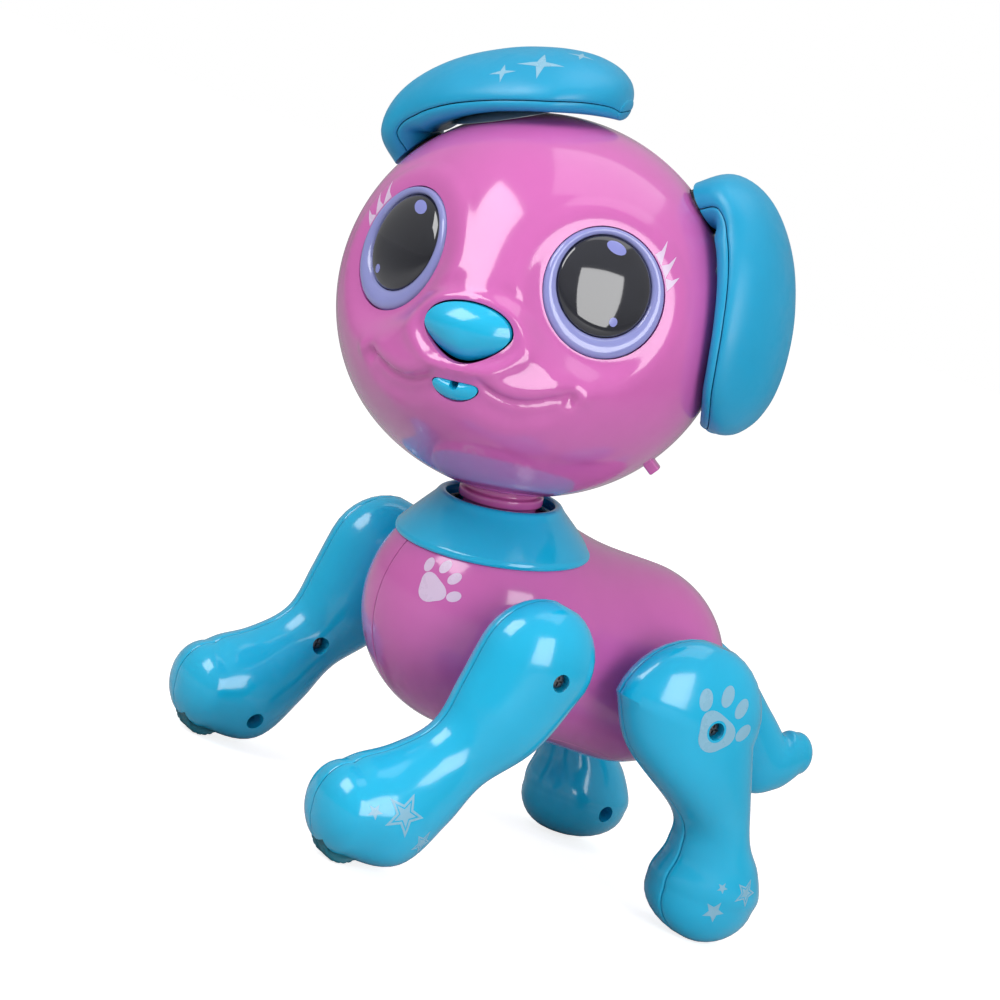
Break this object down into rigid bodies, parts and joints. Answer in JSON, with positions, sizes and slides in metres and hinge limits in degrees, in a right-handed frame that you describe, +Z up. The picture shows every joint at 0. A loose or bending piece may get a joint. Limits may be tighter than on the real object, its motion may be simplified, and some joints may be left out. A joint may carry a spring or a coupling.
{
  "type": "toy robot dog",
  "caption": "Standing toy robot dog with a ball head, big round eyes, flip-over ears, pivoting legs with rollers in the front paws, and a short curled tail.",
  "frame": {"origin": "centre of the whole toy's bounding box in X and Y, on the floor", "axes": "+Z up, -Y towards the front of the body, +X towards the dog's left; the head is turned 44.5 degrees to its left"},
  "size_m": [0.1254, 0.2058, 0.223],
  "materials": {
    "pink_plastic": "gloss",
    "blue_plastic": "gloss",
    "soft_blue_plastic": "soft touch",
    "lilac_plastic": "gloss",
    "lens_plastic": "gloss",
    "grey_plastic": "satin",
    "teal_rubber": "satin",
    "steel": "plated",
    "board": "lacquered",
    "white_plastic": "gloss",
    "black_plastic": "matte"
  },
  "bodies": {
    "body": {"battery_door": "pink_plastic", "battery_door_screw": "steel", "body_left_shell": "pink_plastic", "body_right_shell": "pink_plastic", "collar": "blue_plastic", "battery_box": "black_plastic", "battery_cell_1": "white_plastic", "battery_cell_2": "white_plastic", "battery_cell_3": "white_plastic", "main_board": "board", "speaker": "black_plastic"},
    "neck": {"neck_post": "pink_plastic"},
    "head": {"head_face_shell": "pink_plastic", "head_rear_shell": "pink_plastic", "left_eye_rim": "lilac_plastic", "right_eye_rim": "lilac_plastic", "left_eye_lens": "lens_plastic", "right_eye_lens": "lens_plastic", "left_eye_board": "board", "right_eye_board": "board", "nose_switch": "black_plastic", "mouth_insert": "blue_plastic", "power_switch_body": "black_plastic"},
    "nose": {"nose_button": "blue_plastic"},
    "power_knob": {"power_switch_knob": "pink_plastic"},
    "tail": {"tail": "blue_plastic"},
    "left_ear": {"left_ear_outer_shell": "soft_blue_plastic", "left_ear_inner_shell": "soft_blue_plastic", "left_ear_pad": "grey_plastic", "left_ear_pivot": "black_plastic"},
    "front_left_leg": {"front_left_leg_outer_shell": "blue_plastic", "front_left_leg_inner_shell": "blue_plastic", "front_left_leg_pivot": "black_plastic", "front_left_leg_screw_1": "steel", "front_left_leg_screw_2": "steel", "front_left_leg_screw_3": "steel"},
    "rear_left_leg": {"rear_left_leg_outer_shell": "blue_plastic", "rear_left_leg_inner_shell": "blue_plastic", "rear_left_leg_pivot": "black_plastic", "rear_left_leg_screw_1": "steel", "rear_left_leg_screw_2": "steel"},
    "front_left_roller": {"front_left_roller": "teal_rubber"},
    "right_ear": {"right_ear_outer_shell": "soft_blue_plastic", "right_ear_inner_shell": "soft_blue_plastic", "right_ear_pad": "grey_plastic", "right_ear_pivot": "black_plastic"},
    "front_right_leg": {"front_right_leg_outer_shell": "blue_plastic", "front_right_leg_inner_shell": "blue_plastic", "front_right_leg_pivot": "black_plastic", "front_right_leg_screw_1": "steel", "front_right_leg_screw_2": "steel", "front_right_leg_screw_3": "steel"},
    "rear_right_leg": {"rear_right_leg_outer_shell": "blue_plastic", "rear_right_leg_inner_shell": "blue_plastic", "rear_right_leg_pivot": "black_plastic", "rear_right_leg_screw_1": "steel", "rear_right_leg_screw_2": "steel"},
    "front_right_roller": {"front_right_roller": "teal_rubber"}
  },
  "joints": [
    {"name": "neck_nod", "type": "hinge", "parent": "body", "child": "neck", "pos_m": [0, -0.03199, 0.07961], "axis": [1, 0, 0], "range_deg": [-7, 7]},
    {"name": "head_turn", "type": "hinge", "parent": "neck", "child": "head", "pos_m": [0, -0.05045, 0.15365], "axis": [0, -0.2419, 0.9703], "range_deg": [-104.5, 15.5]},
    {"name": "left_ear_turn", "type": "hinge", "parent": "head", "child": "left_ear", "pos_m": [-0.00561, -0.04492, 0.15503], "axis": [0.5464, 0.3655, 0.7536], "range_deg": [-5, 105]},
    {"name": "right_ear_turn", "type": "hinge", "parent": "head", "child": "right_ear", "pos_m": [-0.00561, -0.04492, 0.15503], "axis": [-0.5464, -0.6765, 0.4938], "range_deg": [0, 185]},
    {"name": "nose_press", "type": "slide", "parent": "head", "child": "nose", "axis": [-0.7008, 0.6962, 0.1556], "range_m": [0, 0.0012], "stiffness_N_per_m": 600},
    {"name": "power_slide", "type": "slide", "parent": "head", "child": "power_knob", "axis": [-0.7716, 0.6172, 0.1539], "range_m": [-0.0025, 0.0025]},
    {"name": "tail_turn", "type": "hinge", "parent": "body", "child": "tail", "pos_m": [0, 0.04865, 0.075], "axis": [0, 0.9934, -0.1146], "range_deg": [-30, 30]},
    {"name": "front_left_leg_turn", "type": "hinge", "parent": "body", "child": "front_left_leg", "pos_m": [0.0485, -0.03535, 0.065], "axis": [1, 0, 0], "range_deg": [-60, 40]},
    {"name": "rear_left_leg_turn", "type": "hinge", "parent": "body", "child": "rear_left_leg", "pos_m": [0.0427, 0.02365, 0.063], "axis": [1, 0, 0], "range_deg": [-45, 40]},
    {"name": "front_left_roller_spin", "type": "hinge", "parent": "front_left_leg", "child": "front_left_roller", "pos_m": [0.0485, -0.07435, 0.007], "axis": [1, 0, 0], "continuous": true},
    {"name": "front_right_leg_turn", "type": "hinge", "parent": "body", "child": "front_right_leg", "pos_m": [-0.0485, -0.03535, 0.065], "axis": [1, 0, 0], "range_deg": [-60, 40]},
    {"name": "rear_right_leg_turn", "type": "hinge", "parent": "body", "child": "rear_right_leg", "pos_m": [-0.0427, 0.02365, 0.063], "axis": [1, 0, 0], "range_deg": [-45, 40]},
    {"name": "front_right_roller_spin", "type": "hinge", "parent": "front_right_leg", "child": "front_right_roller", "pos_m": [-0.0485, -0.07435, 0.007], "axis": [1, 0, 0], "continuous": true}
  ]
}
